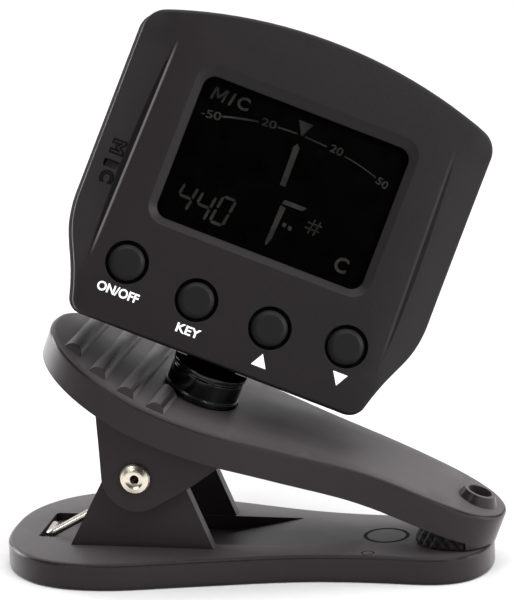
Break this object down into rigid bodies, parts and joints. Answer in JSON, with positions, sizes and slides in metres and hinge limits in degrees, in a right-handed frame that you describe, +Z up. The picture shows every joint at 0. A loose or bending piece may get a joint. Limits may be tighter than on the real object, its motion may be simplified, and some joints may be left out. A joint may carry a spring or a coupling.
{
  "type": "clip on tuner",
  "caption": "Clip-on instrument tuner: spring clip with padded jaw, swivelling and tilting neck, and a screen head with push buttons and a coin cell.",
  "frame": {"origin": "on the underside of the lower jaw, in the clip's centre plane, straight below the pivot axis", "axes": "+Z up, square to the lower jaw's flat underside; +X from the pivot towards the jaw tip; the screen faces roughly -Y with the neck as stored"},
  "size_m": [0.0611, 0.0361, 0.067],
  "materials": {
    "jaw_plastic": "fine moulded grain, dark charcoal",
    "jaw_rubber": "ribbed soft black rubber",
    "bright_steel": "bright nickel-plated, lightly worn",
    "spring_steel": "plated spring wire",
    "neck_gloss": "polished black",
    "zinc_steel": "zinc plated",
    "case_plastic": "fine moulded grain, near black charcoal",
    "window": "glossy dark tinted acrylic",
    "lcd": "negative liquid crystal glass",
    "light_guide": "clear white light guide",
    "zebra_rubber": "layered elastomer strip",
    "circuit_board": "green solder mask",
    "chip_epoxy": "moulded epoxy",
    "button_plastic": "soft-touch charcoal",
    "switch_plastic": "moulded nylon",
    "mic_aluminium": "drawn can",
    "piezo_brass": "lapped disc",
    "lead_wire": "insulated wire",
    "cell_steel": "stainless can",
    "contact_steel": "nickel-plated spring strip"
  },
  "bodies": {
    "clip_base": {"lower_jaw": "jaw_plastic", "pivot_rivet": "bright_steel", "torsion_spring": "spring_steel"},
    "clip_lever": {"upper_jaw": "jaw_plastic", "upper_jaw_pad": "jaw_rubber"},
    "neck": {"neck_post": "neck_gloss", "neck_washer": "zinc_steel", "neck_screw": "zinc_steel"},
    "head": {"front_cover": "case_plastic", "rear_cover": "case_plastic", "display_window": "window", "lcd_panel": "lcd", "backlight_panel": "light_guide", "lcd_connector": "zebra_rubber", "main_board": "circuit_board", "controller_chip": "chip_epoxy", "tact_switches": "switch_plastic", "mic_capsule": "mic_aluminium", "piezo_disc": "piezo_brass", "piezo_leads": "lead_wire", "coin_cell": "cell_steel", "battery_contact_negative": "contact_steel", "battery_contact_positive": "contact_steel", "case_screws": "zinc_steel", "board_screws": "zinc_steel", "tilt_pin": "bright_steel"},
    "door": {"battery_door": "case_plastic"},
    "key_power": {"button_power": "button_plastic", "plunger_power": "switch_plastic"},
    "key_key": {"button_key": "button_plastic", "plunger_key": "switch_plastic"},
    "key_up": {"button_up": "button_plastic", "plunger_up": "switch_plastic"},
    "key_down": {"button_down": "button_plastic", "plunger_down": "switch_plastic"}
  },
  "joints": [
    {"name": "clip_hinge", "type": "hinge", "parent": "clip_base", "child": "clip_lever", "pos_m": [0, 0, 0.0125], "axis": [0, -1, 0], "range_deg": [0, 33], "stiffness_Nm_per_rad": 0.12, "springref_deg": -45.84, "deforming": ["torsion_spring"]},
    {"name": "neck_swivel", "type": "hinge", "parent": "clip_lever", "child": "neck", "pos_m": [0.0063, 0, 0.02072], "axis": [0.3955, 0, 0.9184], "continuous": true},
    {"name": "head_tilt", "type": "hinge", "parent": "neck", "child": "head", "pos_m": [0.00846, 0.00397, 0.0272], "axis": [-0.9088, -0.1444, 0.3914], "range_deg": [0, 60]},
    {"name": "battery_door_turn", "type": "hinge", "parent": "head", "child": "door", "pos_m": [0.01433, 0.0152, 0.04496], "axis": [-0.2644, 0.925, -0.2728], "range_deg": [0, 60]},
    {"name": "power_press", "type": "slide", "parent": "head", "child": "key_power", "axis": [-0.2644, 0.925, -0.2728], "range_m": [0, 0.0004], "stiffness_N_per_m": 400, "springref_m": -0.0004},
    {"name": "key_press", "type": "slide", "parent": "head", "child": "key_key", "axis": [-0.2644, 0.925, -0.2728], "range_m": [0, 0.0004], "stiffness_N_per_m": 400, "springref_m": -0.0004},
    {"name": "up_press", "type": "slide", "parent": "head", "child": "key_up", "axis": [-0.2644, 0.925, -0.2728], "range_m": [0, 0.0004], "stiffness_N_per_m": 400, "springref_m": -0.0004},
    {"name": "down_press", "type": "slide", "parent": "head", "child": "key_down", "axis": [-0.2644, 0.925, -0.2728], "range_m": [0, 0.0004], "stiffness_N_per_m": 400, "springref_m": -0.0004}
  ]
}
